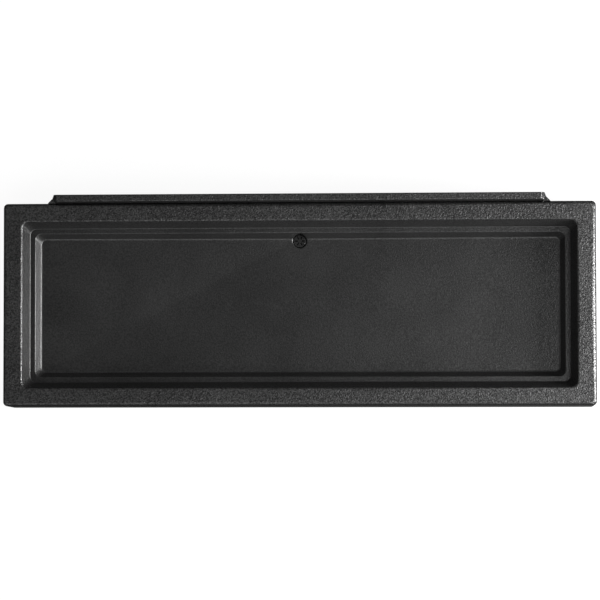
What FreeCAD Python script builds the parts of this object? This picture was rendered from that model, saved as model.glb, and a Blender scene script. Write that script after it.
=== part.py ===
import FreeCAD, Part
import math
import os

import Sketcher

# A moulded drip tray with a rear splash rail, a sump drain and a swivel hose elbow.
#
# Millimetres. X runs along the tray's width, +Y towards its rear and +Z up. The origin is the centre
# of the whole object's bounding box, at the level the feet rest on. Every body is drawn about the
# centre of the tray, or about the drain's axis, and its Placement carries it to its place.

DIMENSIONS = (
    ("tray_width", 609.6, "outside width at the foot of the skirt, 24 in"),
    ("tray_depth", 209.55, "outside depth at the foot of the skirt, 8 1/4 in"),
    ("face_height", 63.5, "top face above the counter, 2 1/2 in"),
    ("skirt_foot", 2.5, "foot of the skirt above the counter"),
    ("sheet", 3.0, "wall thickness of the moulding"),
    ("skirt_run", 1.6, "draft of the front and side skirts over their height"),
    ("outer_corner", 4.5, "plan radius of the tray's corners"),
    ("edge_rounding", 5.0, "rounding of the top outer edge"),
    ("border_side", 19.3, "top face beside the well"),
    ("border_front", 18.5, "top face in front of the well"),
    ("border_rear", 18.95, "top face behind the well"),
    ("rim_corner", 7.0, "plan radius of the upper well's corners"),
    ("rim_rounding", 3.0, "rounding of the well's rim"),
    ("upper_depth", 18.5, "drop from the top face to the ledge"),
    ("upper_run", 5.8, "draft of the upper wall"),
    ("ledge_width", 5.5, "ledge that a cup grille rests on"),
    ("ledge_rounding", 1.2, "rounding of the ledge's edges"),
    ("lower_depth", 9.5, "drop from the ledge to the edge of the floor"),
    ("lower_run", 4.8, "draft of the lower wall"),
    ("floor_corner", 6.0, "plan radius of the lower well's corners"),
    ("floor_fall", 7.0, "fall of the floor to the drain"),
    ("sump_radius", 7.2, "sump at the low point of the floor"),
    ("sump_setback", 2.5, "axis of the sump in front of the floor's rear edge"),
    ("sump_bottom", 23.0, "inside bottom of the sump above the counter"),
    ("drain_hole", 5.25, "radius of the hole for the drain spigot"),
    ("notch_radius", 13.0, "hose notch in the rear skirt"),
    ("notch_centre", 11.5, "centre of the notch's arch above the counter"),
    ("seat_depth", 1.55, "depth of the seat in the rear skirt that the rail's flange lies in"),
    ("seat_length", 500.8, "length of that seat"),
    ("seat_bottom", 33.0, "lower end of that seat"),
    ("seat_backing", 61.0, "top of the thickening behind the seat"),
    ("rail_gap", 0.8, "slot between the seat and the rail"),
    ("rail_foot_height", 52.5, "underside of the rail's ridge"),
    ("rail_top_height", 68.5, "land of the rail"),
    ("rail_foot_depth", 9.8, "depth of the ridge at its foot"),
    ("rail_front_lean", 2.2, "lean of the ridge's front face"),
    ("rail_rear_lean", 0.5, "lean of the ridge's rear face"),
    ("rail_foot_front", 515.4, "length of the ridge's foot along its front"),
    ("rail_foot_middle", 507.2, "length of the ridge's foot where its ends turn steeper"),
    ("rail_turn_depth", 4.2, "distance of that turn behind the foot's front"),
    ("rail_foot_rear", 502.0, "length of the ridge's foot along its rear"),
    ("rail_top_length", 496.0, "length of the land before its edges are rounded"),
    ("rail_corner", 2.0, "rounding of the ridge's upright corners"),
    ("toe_length", 514.4, "length over the toes that close the slot at its ends"),
    ("toe_depth", 4.2, "depth of a toe behind the tray"),
    ("toe_top", 63.5, "top of the toes, level with the tray's face"),
    ("rail_core_width", 3.6, "width of the core slot under the ridge"),
    ("rail_core_depth", 12.5, "depth of the core slot under the ridge"),
    ("rail_core_length", 480.0, "length of the core slot under the ridge"),
    ("flange_length", 500.0, "length of the rail's fixing flange"),
    ("flange_bottom", 34.0, "lower edge of the fixing flange"),
    ("flange_top", 55.5, "upper edge of the fixing flange, floor of the slot"),
    ("fixing_height", 43.0, "height of every hole in the fixing flange"),
    ("fixing_pitch", 406.4, "distance between the two fixing holes, 16 in"),
    ("fixing_radius", 2.75, "radius of a fixing hole"),
    ("screw_span", 450.0, "first to last rail screw"),
    ("screw_count", 4.0, "number of rail screws"),
    ("screw_shank", 1.95, "radius of a rail screw"),
    ("screw_head", 4.0, "radius of a rail screw's countersunk head"),
    ("screw_hole", 2.15, "radius of the clearance hole for a rail screw"),
    ("screw_tail", 1.2, "thread standing past the nut"),
    ("driver_radius", 1.35, "circle through the corners of the hex recess"),
    ("driver_depth", 1.3, "depth of the hex recess"),
    ("nut_across", 7.0, "rail nut across flats"),
    ("nut_height", 3.2, "height of a rail nut"),
    ("nut_bore", 2.0, "bore radius of a rail nut"),
    ("foot_length", 30.0, "length of an edge foot"),
    ("foot_wall", 4.0, "wall of an edge foot inside the skirt"),
    ("foot_rise", 9.5, "height of that wall above the skirt's foot"),
    ("foot_setback", 3.3, "face of that wall inside the outside of the skirt"),
    ("foot_inset", 0.4, "lip of an edge foot inside the outside of the skirt"),
    ("foot_station", 65.0, "centre of a foot in front of or behind the tray's centre"),
    ("gasket_height", 1.2, "thickness of the spigot's gasket"),
    ("gasket_bore", 5.1, "bore radius of the gasket and the nut washer"),
    ("flange_radius", 7.1, "radius of the spigot's flange"),
    ("flange_height", 1.6, "thickness of the spigot's flange"),
    ("tail_radius", 4.98, "radius of the spigot's threaded tail"),
    ("tail_shoulder", 15.9, "lower end of the threaded tail above the counter"),
    ("journal_radius", 4.5, "radius of the part the elbow turns on"),
    ("journal_bottom", 10.2, "lower end of the spigot above the counter"),
    ("spigot_bore", 3.5, "bore of the spigot under the strainer"),
    ("journal_bore", 2.8, "bore of the spigot at its lower end"),
    ("bore_step", 18.0, "height where the spigot's bore narrows"),
    ("washer_radius", 9.5, "radius of the nut washer"),
    ("washer_height", 1.0, "thickness of the nut washer"),
    ("lock_across", 17.0, "lock nut across flats"),
    ("lock_height", 3.0, "height of the lock nut"),
    ("lock_bore", 5.03, "bore radius of the lock nut"),
    ("ring_radius", 0.45, "section radius of the elbow's O-ring"),
    ("ring_height", 11.9, "height of the O-ring's middle"),
    ("ring_groove_radius", 3.6, "bottom radius of the O-ring's groove"),
    ("ring_groove_half", 0.5, "half width of the O-ring's groove"),
    ("clip_height", 14.25, "height of the retaining clip's middle"),
    ("clip_thickness", 1.0, "thickness of the retaining clip"),
    ("clip_inner", 3.9, "inside of the clip's legs from the drain's axis"),
    ("clip_leg", 1.3, "width of a leg of the clip"),
    ("clip_bridge", 7.0, "inside of the clip's bridge from the drain's axis"),
    ("clip_reach", 7.2, "end of the clip's legs from the drain's axis"),
    ("clip_groove_radius", 3.85, "bottom radius of the clip's groove in the spigot"),
    ("clip_play", 0.05, "clearance above and below the clip"),
    ("elbow_bottom", 1.4, "underside of the elbow above the counter"),
    ("elbow_top", 15.6, "top of the elbow above the counter"),
    ("elbow_radius", 6.5, "outside radius of the elbow's socket"),
    ("socket_radius", 4.55, "radius the elbow turns on the spigot with"),
    ("socket_bottom", 3.4, "bottom of the elbow's chamber"),
    ("hose_tail_height", 7.0, "axis of the hose tail above the counter"),
    ("collar_radius", 5.8, "radius of the collar that the hose is pushed up to"),
    ("collar_end", 9.0, "face of the collar from the drain's axis"),
    ("hose_tail_radius", 5.0, "radius of the hose tail, for a 10 mm hose"),
    ("hose_tail_bore", 3.0, "bore of the hose tail"),
    ("hose_tail_reach", 31.0, "end of the hose tail from the drain's axis"),
    ("hose_tail_chamfer", 0.8, "chamfer of the hose tail's end"),
    ("strainer_radius", 6.6, "radius of the strainer's cap"),
    ("strainer_height", 1.8, "height of the strainer's cap"),
    ("strainer_rounding", 0.9, "rounding of the strainer's cap"),
    ("strainer_recess", 5.5, "radius of the recess under the cap"),
    ("strainer_skin", 1.0, "thickness of the cap over the recess"),
    ("plug_radius", 3.42, "radius of the strainer's plug"),
    ("plug_bore", 2.6, "bore of the strainer's plug"),
    ("plug_length", 4.0, "length of the strainer's plug"),
    ("slot_width", 1.3, "width of a slot in the strainer"),
    ("slot_start", 2.0, "inner end of a slot from the axis"),
    ("slot_end", 5.0, "outer end of a slot from the axis"),
    ("slot_count", 6.0, "number of slots in the strainer"),
    ("slot_overcut", 0.6, "how far a slot is cut past the cap's skin"),
    ("countersink_play", 0.1, "clearance round a countersunk head"),
    ("cut_margin", 1.0, "how far a cutting shape reaches past what it cuts"),
)

# Lines worked out from the driving dimensions, about the centre of the tray's foot.
REAR = "Dims.tray_depth / 2"
SEAT = f"({REAR} - Dims.seat_depth)"
TOP_WIDTH = "(Dims.tray_width - 2 * Dims.skirt_run)"
TOP_DEPTH = "(Dims.tray_depth - Dims.skirt_run)"
TOP_CENTRE = "(Dims.skirt_run / 2)"
RIM_WIDTH = f"({TOP_WIDTH} - 2 * Dims.border_side)"
RIM_DEPTH = f"({TOP_DEPTH} - Dims.border_front - Dims.border_rear)"
WELL_CENTRE = f"({TOP_CENTRE} + (Dims.border_front - Dims.border_rear) / 2)"
LEDGE_HEIGHT = "(Dims.face_height - Dims.upper_depth)"
FLOOR_HEIGHT = f"({LEDGE_HEIGHT} - Dims.lower_depth)"
LEDGE_OUTER_RUN = "Dims.upper_run"
LEDGE_INNER_RUN = "(Dims.upper_run + Dims.ledge_width)"
FLOOR_RUN = f"({LEDGE_INNER_RUN} + Dims.lower_run)"
FLOOR_DEPTH = f"({RIM_DEPTH} - 2 * {FLOOR_RUN})"
FLOOR_REAR = f"({WELL_CENTRE} + {FLOOR_DEPTH} / 2)"
DRAIN_LINE = f"({FLOOR_REAR} - Dims.sump_setback)"
BOX_SHIFT = "((Dims.seat_depth - Dims.rail_gap - Dims.rail_foot_depth) / 2)"
SKIRT_RISE = "(Dims.face_height - Dims.skirt_foot)"
SUMP_UNDERSIDE = "(Dims.sump_bottom - Dims.sheet)"
SPIGOT_SEAT = "(Dims.sump_bottom + Dims.gasket_height)"
SPIGOT_TOP = f"({SPIGOT_SEAT} + Dims.flange_height)"
LOCK_TOP = f"({SUMP_UNDERSIDE} - Dims.washer_height)"

# Slack when edges are picked by their place, and the least cosine between like directions.
TOLERANCE = 0.01
SAME_WAY = 0.99

doc = FreeCAD.newDocument("drip_tray")


def make_sheet():
    """The sheet of driving dimensions: name, value and meaning, a row each."""
    sheet = doc.addObject("Spreadsheet::Sheet", "Dims")
    for row, (alias, value, meaning) in enumerate(DIMENSIONS, start=1):
        sheet.set(f"A{row}", alias)
        sheet.set(f"B{row}", str(value))
        sheet.set(f"C{row}", meaning)
        sheet.setAlias(f"B{row}", alias)
    doc.recompute()
    return sheet


SHEET = make_sheet()


def value_of(expression):
    """The present value of an expression, for a sketch's first guess."""
    return float(SHEET.evalExpression(expression.replace("Dims.", "")))


def make_body(label, line="0"):
    """A body that its Placement carries to a line parallel to the rear, in the object's frame."""
    body = doc.addObject("PartDesign::Body", label)
    body.Label = label
    body.setExpression("Placement.Base.y", f"{BOX_SHIFT} + {line}")
    return body


def origin_feature(body, role):
    return next(item for item in body.Origin.OriginFeatures if item.Role == role)


def make_sketch(body, name, role="XY_Plane", height="0", along="0"):
    """A sketch on one of the body's origin planes, moved along the plane's normal and its own y."""
    sketch = body.newObject("Sketcher::SketchObject", name)
    sketch.AttachmentSupport = (origin_feature(body, role), [""])
    sketch.MapMode = "FlatFace"
    sketch.setExpression("AttachmentOffset.Base.z", height)
    sketch.setExpression("AttachmentOffset.Base.y", along)
    return sketch


def bind(sketch, name, constraint, expression):
    """Adds a named dimension to the sketch and binds it to an expression."""
    sketch.renameConstraint(sketch.addConstraint(constraint), name)
    sketch.setExpression(f"Constraints.{name}", expression)


def draw_rounded_rectangle(sketch, width, depth, radius):
    """Four sides and four corner arcs, centred on the sketch's origin."""
    half_x = value_of(width) / 2
    half_y = value_of(depth) / 2
    r = value_of(radius)
    turns = ((1, -1, -90), (1, 1, 0), (-1, 1, 90), (-1, -1, 180))
    ends = (
        (-half_x + r, -half_y, half_x - r, -half_y),
        (half_x, -half_y + r, half_x, half_y - r),
        (half_x - r, half_y, -half_x + r, half_y),
        (-half_x, half_y - r, -half_x, -half_y + r),
    )
    for x1, y1, x2, y2 in ends:
        sketch.addGeometry(Part.LineSegment(FreeCAD.Vector(x1, y1, 0), FreeCAD.Vector(x2, y2, 0)))
    for side_x, side_y, start in turns:
        centre = FreeCAD.Vector(side_x * (half_x - r), side_y * (half_y - r), 0)
        circle = Part.Circle(centre, FreeCAD.Vector(0, 0, 1), r)
        sketch.addGeometry(Part.ArcOfCircle(circle, math.radians(start), math.radians(start + 90)))
    for side in range(4):
        sketch.addConstraint(Sketcher.Constraint("Tangent", side, 2, side + 4, 1))
        sketch.addConstraint(Sketcher.Constraint("Tangent", side + 4, 2, (side + 1) % 4, 1))
    for side in (0, 2):
        sketch.addConstraint(Sketcher.Constraint("Horizontal", side))
        sketch.addConstraint(Sketcher.Constraint("Vertical", side + 1))
    for corner in (5, 6, 7):
        sketch.addConstraint(Sketcher.Constraint("Equal", 4, corner))
    sketch.addConstraint(Sketcher.Constraint("Symmetric", 4, 3, 6, 3, -1, 1))
    bind(sketch, "width", Sketcher.Constraint("DistanceX", 3, 1, 1, 1, 2 * half_x), width)
    bind(sketch, "depth", Sketcher.Constraint("DistanceY", 0, 1, 2, 1, 2 * half_y), depth)
    bind(sketch, "corner", Sketcher.Constraint("Radius", 4, r), radius)


def draw_circle(sketch, radius, x="0", y="0"):
    """One circle of the sketch, placed from its origin."""
    centre = FreeCAD.Vector(value_of(x), value_of(y), 0)
    size = value_of(radius)
    item = sketch.addGeometry(Part.Circle(centre, FreeCAD.Vector(0, 0, 1), size))
    bind(sketch, f"radius{item}", Sketcher.Constraint("Radius", item, size), radius)
    bind(sketch, f"across{item}", Sketcher.Constraint("DistanceX", -1, 1, item, 3, centre.x), x)
    bind(sketch, f"up{item}", Sketcher.Constraint("DistanceY", -1, 1, item, 3, centre.y), y)


def draw_polygon(sketch, corners):
    """A closed outline through corners given as pairs of expressions."""
    points = [FreeCAD.Vector(value_of(x), value_of(y), 0) for x, y in corners]
    last = len(points) - 1
    for start, end in zip(points, points[1:] + points[:1]):
        sketch.addGeometry(Part.LineSegment(start, end))
    for side in range(len(points)):
        following = 0 if side == last else side + 1
        sketch.addConstraint(Sketcher.Constraint("Coincident", side, 2, following, 1))
    for side, ((x, y), point) in enumerate(zip(corners, points)):
        across = Sketcher.Constraint("DistanceX", -1, 1, side, 1, point.x)
        up = Sketcher.Constraint("DistanceY", -1, 1, side, 1, point.y)
        bind(sketch, f"across{side}", across, x)
        bind(sketch, f"up{side}", up, y)


def add_loft(body, kind, profile, section):
    """A ruled loft, Additive or Subtractive, between two outlines or to a point."""
    loft = body.newObject(f"PartDesign::{kind}Loft", f"{kind}_{profile.Name}")
    loft.Profile = profile
    loft.Sections = [section]
    loft.Ruled = True
    return loft


def add_pad(body, sketch, length, upward=True):
    pad = body.newObject("PartDesign::Pad", f"pad_{sketch.Name}")
    pad.Profile = sketch
    pad.Reversed = not upward
    pad.setExpression("Length", length)
    return pad


def add_pocket(body, sketch, length, upward=False):
    """A pocket that cuts against the sketch's normal, or along it where upward is set."""
    pocket = body.newObject("PartDesign::Pocket", f"pocket_{sketch.Name}")
    pocket.Profile = sketch
    pocket.Reversed = upward
    pocket.setExpression("Length", length)
    return pocket


def add_row(body, feature, sketch, span, count):
    """Repeats a feature along the sketch's horizontal axis."""
    row = body.newObject("PartDesign::LinearPattern", f"row_{sketch.Name}")
    row.Originals = [feature]
    row.Direction = (sketch, ["H_Axis"])
    row.setExpression("Length", span)
    row.setExpression("Occurrences", count)
    body.Tip = row
    return row


def revolve(body, name, corners):
    """Turns a closed outline of radius and height pairs about the body's vertical axis."""
    sketch = make_sketch(body, name, "XZ_Plane")
    draw_polygon(sketch, corners)
    turned = body.newObject("PartDesign::Revolution", f"turned_{name}")
    turned.Profile = sketch
    turned.ReferenceAxis = (sketch, ["V_Axis"])
    turned.Angle = 360
    return turned


def dress_up(body, kind, name, elements):
    """A feature such as Fillet or Draft on named edges or faces of the body's present shape."""
    base = body.Tip
    feature = body.newObject(f"PartDesign::{kind}", name)
    feature.Base = (base, elements)
    return feature


def add_fillet(body, edges, radius):
    """Rounds the named edges of the body's present shape."""
    fillet = dress_up(body, "Fillet", "rounding", edges)
    fillet.setExpression("Radius", radius)
    doc.recompute()


def level_edges(shape, height, half_width=None):
    """Names of the edges lying flat at a height, inside a half width where one is given."""
    names = []
    for number, edge in enumerate(shape.Edges, start=1):
        box = edge.BoundBox
        flat = abs(box.ZMin - height) < TOLERANCE and abs(box.ZMax - height) < TOLERANCE
        inside = half_width is None or max(abs(box.XMin), abs(box.XMax)) < half_width + TOLERANCE
        if flat and inside:
            names.append(f"Edge{number}")
    return names


def upright_edges(shape, low, high):
    """Names of the edges that climb from one height to another."""
    names = []
    for number, edge in enumerate(shape.Edges, start=1):
        box = edge.BoundBox
        if abs(box.ZMin - low) < TOLERANCE and abs(box.ZMax - high) < TOLERANCE:
            names.append(f"Edge{number}")
    return names


def well_outline(body, name, run, corner, height, grow="0"):
    """An outline of the well, drawn in from the rim by a run and grown by a wall on the underside."""
    sketch = make_sketch(body, name, height=height, along=WELL_CENTRE)
    width = f"{RIM_WIDTH} - 2 * ({run}) + 2 * ({grow})"
    depth = f"{RIM_DEPTH} - 2 * ({run}) + 2 * ({grow})"
    draw_rounded_rectangle(sketch, width, depth, f"{corner} + ({grow})")
    return sketch


def floor_point(body, name, height, grow="0"):
    """The low point of the floor, at the middle of its rear edge."""
    sketch = make_sketch(body, name, height=height)
    rear = f"{FLOOR_REAR} + ({grow})"
    sketch.addGeometry(Part.Point(FreeCAD.Vector(0, value_of(rear), 0)))
    bind(sketch, "across", Sketcher.Constraint("DistanceX", -1, 1, 0, 1, 0), "0")
    bind(sketch, "rear", Sketcher.Constraint("DistanceY", -1, 1, 0, 1, value_of(rear)), rear)
    return sketch


def facing(shape, direction):
    """Names of the flat faces whose outward normal is nearest to a direction."""
    wanted = FreeCAD.Vector(*direction)
    names = []
    for number, face in enumerate(shape.Faces, start=1):
        if face.normalAt(0, 0).dot(wanted) > SAME_WAY:
            names.append(f"Face{number}")
    return names


def shell_skirt(body):
    """The tray's outer box, drafted on three sides and rounded, hollowed from below to one wall."""
    foot = make_sketch(body, "foot_outline", height="Dims.skirt_foot")
    half_x = "Dims.tray_width / 2"
    draw_polygon(
        foot,
        (
            (f"-{half_x}", f"-{REAR}"),
            (half_x, f"-{REAR}"),
            (half_x, REAR),
            (f"-{half_x}", REAR),
        ),
    )
    add_pad(body, foot, SKIRT_RISE)
    doc.recompute()
    block = body.Tip
    sides = [facing(block.Shape, way)[0] for way in ((-1, 0, 0), (1, 0, 0), (0, -1, 0))]
    draft = dress_up(body, "Draft", "skirt_draft", sides)
    draft.NeutralPlane = (block, facing(block.Shape, (0, 0, -1)))
    draft.setExpression("Angle", f"atan(Dims.skirt_run / {SKIRT_RISE})")
    doc.recompute()
    low = value_of("Dims.skirt_foot")
    high = value_of("Dims.face_height")
    add_fillet(body, upright_edges(body.Tip.Shape, low, high), "Dims.outer_corner")
    hollow = dress_up(body, "Thickness", "hollow", facing(body.Tip.Shape, (0, 0, -1)))
    hollow.Reversed = True
    hollow.setExpression("Value", "Dims.sheet")
    doc.recompute()
    add_fillet(body, level_edges(body.Tip.Shape, high), "Dims.edge_rounding")


def shell_well_skin(body):
    """The underside of the stepped well, the falling floor and the sump's boss."""
    wall = "Dims.sheet"
    corner = "Dims.rim_corner"
    high = well_outline(body, "skin_rim", "0", corner, "Dims.face_height - Dims.sheet / 2", wall)
    low = well_outline(
        body, "skin_ledge", LEDGE_OUTER_RUN, corner, f"{LEDGE_HEIGHT} - Dims.sheet", wall
    )
    add_loft(body, "Additive", high, low)
    corner = "Dims.floor_corner"
    high = well_outline(
        body, "skin_step", LEDGE_INNER_RUN, corner, f"{LEDGE_HEIGHT} - Dims.sheet / 2", wall
    )
    low = well_outline(body, "skin_floor", FLOOR_RUN, corner, f"{FLOOR_HEIGHT} - Dims.sheet", wall)
    add_loft(body, "Additive", high, low)
    edge = well_outline(body, "skin_slope", FLOOR_RUN, corner, f"{FLOOR_HEIGHT} - Dims.sheet", wall)
    low_point = floor_point(
        body, "skin_low_point", f"{FLOOR_HEIGHT} - Dims.floor_fall - Dims.sheet", wall
    )
    add_loft(body, "Additive", edge, (low_point, ["Vertex1"]))
    boss = make_sketch(body, "sump_boss", height=SUMP_UNDERSIDE)
    draw_circle(boss, "Dims.sump_radius + Dims.sheet", y=DRAIN_LINE)
    add_pad(body, boss, f"{FLOOR_HEIGHT} - {SUMP_UNDERSIDE}")
    doc.recompute()


def shell_well(body):
    """The open well: upper wall, ledge, lower wall and a floor of three facets falling to the drain."""
    rim = well_outline(body, "rim", "0", "Dims.rim_corner", "Dims.face_height")
    ledge = well_outline(body, "ledge", LEDGE_OUTER_RUN, "Dims.rim_corner", LEDGE_HEIGHT)
    add_loft(body, "Subtractive", rim, ledge)
    step = well_outline(body, "step", LEDGE_INNER_RUN, "Dims.floor_corner", LEDGE_HEIGHT)
    floor = well_outline(body, "floor", FLOOR_RUN, "Dims.floor_corner", FLOOR_HEIGHT)
    add_loft(body, "Subtractive", step, floor)
    slope = well_outline(body, "slope", FLOOR_RUN, "Dims.floor_corner", FLOOR_HEIGHT)
    low_point = floor_point(body, "low_point", f"{FLOOR_HEIGHT} - Dims.floor_fall")
    add_loft(body, "Subtractive", slope, (low_point, ["Vertex1"]))
    doc.recompute()


def shell_roundings(body):
    """Rounds the rim and both edges of the ledge."""
    rim_half = value_of(RIM_WIDTH) / 2
    edges = level_edges(body.Tip.Shape, value_of("Dims.face_height"), rim_half)
    add_fillet(body, edges, "Dims.rim_rounding")
    edges = level_edges(body.Tip.Shape, value_of(LEDGE_HEIGHT), rim_half)
    add_fillet(body, edges, "Dims.ledge_rounding")


def shell_sump(body):
    """The sump at the low point, and the hole in its bottom for the drain spigot."""
    sump = make_sketch(body, "sump", height="Dims.sump_bottom")
    draw_circle(sump, "Dims.sump_radius", y=DRAIN_LINE)
    add_pocket(body, sump, f"{LEDGE_HEIGHT} - Dims.sump_bottom", upward=True)
    hole = make_sketch(body, "drain_hole", height="Dims.sump_bottom")
    draw_circle(hole, "Dims.drain_hole", y=DRAIN_LINE)
    add_pocket(body, hole, "2 * Dims.sheet")
    doc.recompute()


def shell_notch(body):
    """The arched notch that lets the hose out under the rear skirt."""
    sketch = make_sketch(body, "notch", "XZ_Plane", height=f"-({REAR} - 2 * Dims.sheet)")
    draw_polygon(
        sketch,
        (
            ("-Dims.notch_radius", "0"),
            ("Dims.notch_radius", "0"),
            ("Dims.notch_radius", "Dims.notch_centre"),
            ("-Dims.notch_radius", "Dims.notch_centre"),
        ),
    )
    add_pocket(body, sketch, "3 * Dims.sheet")
    arch = make_sketch(body, "notch_arch", "XZ_Plane", height=f"-({REAR} - 2 * Dims.sheet)")
    draw_circle(arch, "Dims.notch_radius", y="Dims.notch_centre")
    add_pocket(body, arch, "3 * Dims.sheet")
    doc.recompute()


def draw_band(sketch, half, low, high):
    """A rectangle about the sketch's middle, between two heights."""
    draw_polygon(sketch, ((f"-({half})", low), (half, low), (half, high), (f"-({half})", high)))


def shell_seat(body):
    """A shallow seat for the rail in the rear skirt, which is thickened inwards behind it."""
    backing = make_sketch(body, "seat_backing", "XZ_Plane", height=f"-({SEAT} - Dims.sheet)")
    draw_band(
        backing, "Dims.seat_length / 2 + Dims.sheet", "Dims.seat_bottom - Dims.sheet",
        "Dims.seat_backing",
    )
    add_pad(body, backing, "Dims.sheet", upward=False)
    seat = make_sketch(body, "rail_seat", "XZ_Plane", height=f"-{SEAT}")
    draw_band(seat, "Dims.seat_length / 2", "Dims.seat_bottom", "Dims.face_height + Dims.sheet")
    add_pocket(body, seat, "2 * Dims.seat_depth")
    doc.recompute()


def rear_holes(body, name, radius, span, count, start, length):
    """A row of round holes at the fixing height, cut towards the rear from a line."""
    sketch = make_sketch(body, name, "XZ_Plane", height=f"-({start})")
    draw_circle(sketch, radius, x=f"-({span}) / 2", y="Dims.fixing_height")
    hole = add_pocket(body, sketch, length)
    doc.recompute()
    add_row(body, hole, sketch, span, count)
    doc.recompute()


def make_tray_shell():
    body = make_body("tray_shell")
    shell_skirt(body)
    shell_well_skin(body)
    shell_well(body)
    shell_roundings(body)
    shell_sump(body)
    shell_seat(body)
    shell_notch(body)
    start = f"{REAR} - 2 * Dims.sheet"
    rear_holes(
        body, "fixing_hole", "Dims.fixing_radius", "Dims.fixing_pitch", "2", start, "3 * Dims.sheet"
    )
    rear_holes(
        body, "screw_hole", "Dims.screw_hole", "Dims.screw_span", "Dims.screw_count", start,
        "3 * Dims.sheet",
    )
    return body


def cut_ridge_end(body, side, front, rear):
    """Slopes one end of the ridge, and draws it in towards the rear."""
    name = "left" if side == "-" else "right"
    past = "(Dims.rail_foot_front / 2 + Dims.cut_margin)"
    above = "(Dims.rail_top_height + Dims.cut_margin)"
    slope = make_sketch(body, f"end_slope_{name}", "XZ_Plane", height=f"-({front} - Dims.cut_margin)")
    corners = (
        ("(Dims.rail_foot_front / 2)", "Dims.rail_foot_height"),
        (past, "Dims.rail_foot_height"),
        (past, above),
        ("(Dims.rail_top_length / 2)", above),
        ("(Dims.rail_top_length / 2)", "Dims.rail_top_height"),
    )
    draw_polygon(slope, [(side + x, z) for x, z in corners])
    add_pocket(body, slope, "Dims.rail_foot_depth + 2 * Dims.cut_margin")
    taper = make_sketch(body, f"end_taper_{name}", height="Dims.rail_foot_height")
    corners = (
        ("(Dims.rail_foot_front / 2)", front),
        (past, front),
        (past, rear),
        ("(Dims.rail_foot_rear / 2)", rear),
        ("(Dims.rail_foot_middle / 2)", f"({front} + Dims.rail_turn_depth)"),
    )
    draw_polygon(taper, [(side + x, y) for x, y in corners])
    add_pocket(body, taper, "Dims.rail_top_height - Dims.rail_foot_height", upward=True)


def add_end_toe(body, side):
    """Trims one end of the ridge to the tray's rear, and closes the slot there with a low toe."""
    name = "left" if side == "-" else "right"
    inner = "(Dims.flange_length / 2)"
    outer = "(Dims.toe_length / 2)"
    past = "(Dims.rail_foot_front / 2 + Dims.cut_margin)"
    relief = make_sketch(body, f"end_relief_{name}", height="Dims.rail_foot_height")
    near = f"({SEAT} - Dims.cut_margin)"
    corners = ((inner, near), (past, near), (past, REAR), (inner, REAR))
    draw_polygon(relief, [(side + x, y) for x, y in corners])
    add_pocket(body, relief, "Dims.rail_top_height - Dims.rail_foot_height", upward=True)
    toe = make_sketch(body, f"end_toe_{name}", height="Dims.rail_foot_height")
    back = f"({REAR} + Dims.toe_depth)"
    corners = ((inner, REAR), (outer, REAR), (f"({outer} - Dims.toe_depth)", back), (inner, back))
    draw_polygon(toe, [(side + x, y) for x, y in corners])
    add_pad(body, toe, "Dims.toe_top - Dims.rail_foot_height")


def ridge_end_edges(shape, front):
    """Names of the edges that climb at the ridge's front corners."""
    names = []
    for number, edge in enumerate(shape.Edges, start=1):
        box = edge.BoundBox
        climbs = box.ZMax - box.ZMin > value_of("Dims.rail_top_height - Dims.rail_foot_height") - TOLERANCE
        if climbs and box.YMin < front + TOLERANCE:
            names.append(f"Edge{number}")
    return names


def make_splash_rail():
    """The rail behind the tray: a leaning ridge with tapered ends, on a flange against the skirt."""
    body = make_body("splash_rail")
    front = f"({SEAT} + Dims.rail_gap)"
    rear = f"({front} + Dims.rail_foot_depth)"
    section = make_sketch(body, "ridge_section", "YZ_Plane")
    draw_polygon(
        section,
        (
            (front, "Dims.rail_foot_height"),
            (rear, "Dims.rail_foot_height"),
            (f"{rear} - Dims.rail_rear_lean", "Dims.rail_top_height"),
            (f"{front} + Dims.rail_front_lean", "Dims.rail_top_height"),
        ),
    )
    ridge = add_pad(body, section, "Dims.rail_foot_front")
    ridge.Midplane = True
    for side in ("-", ""):
        cut_ridge_end(body, side, front, rear)
    doc.recompute()
    add_fillet(body, ridge_end_edges(body.Tip.Shape, value_of(front)), "Dims.rail_corner")
    land = level_edges(body.Tip.Shape, value_of("Dims.rail_top_height"))
    add_fillet(body, land, "Dims.ledge_rounding")
    for side in ("-", ""):
        add_end_toe(body, side)
    core = make_sketch(
        body, "ridge_core", height="Dims.rail_foot_height",
        along=f"{SEAT} + Dims.rail_gap + (Dims.rail_foot_depth + Dims.rail_front_lean) / 2",
    )
    draw_rounded_rectangle(
        core, "Dims.rail_core_length", "Dims.rail_core_width", "Dims.rail_core_width / 3"
    )
    add_pocket(body, core, "Dims.rail_core_depth", upward=True)
    flange = make_sketch(
        body, "fixing_flange", height="Dims.flange_bottom", along=f"{SEAT} + Dims.sheet / 2"
    )
    draw_rounded_rectangle(flange, "Dims.flange_length", "Dims.sheet", "Dims.sheet / 4")
    add_pad(body, flange, "Dims.flange_top - Dims.flange_bottom")
    doc.recompute()
    rear_holes(
        body, "fixing_hole", "Dims.fixing_radius", "Dims.fixing_pitch", "2", SEAT,
        "Dims.sheet",
    )
    screw_holes(body)
    return body


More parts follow.
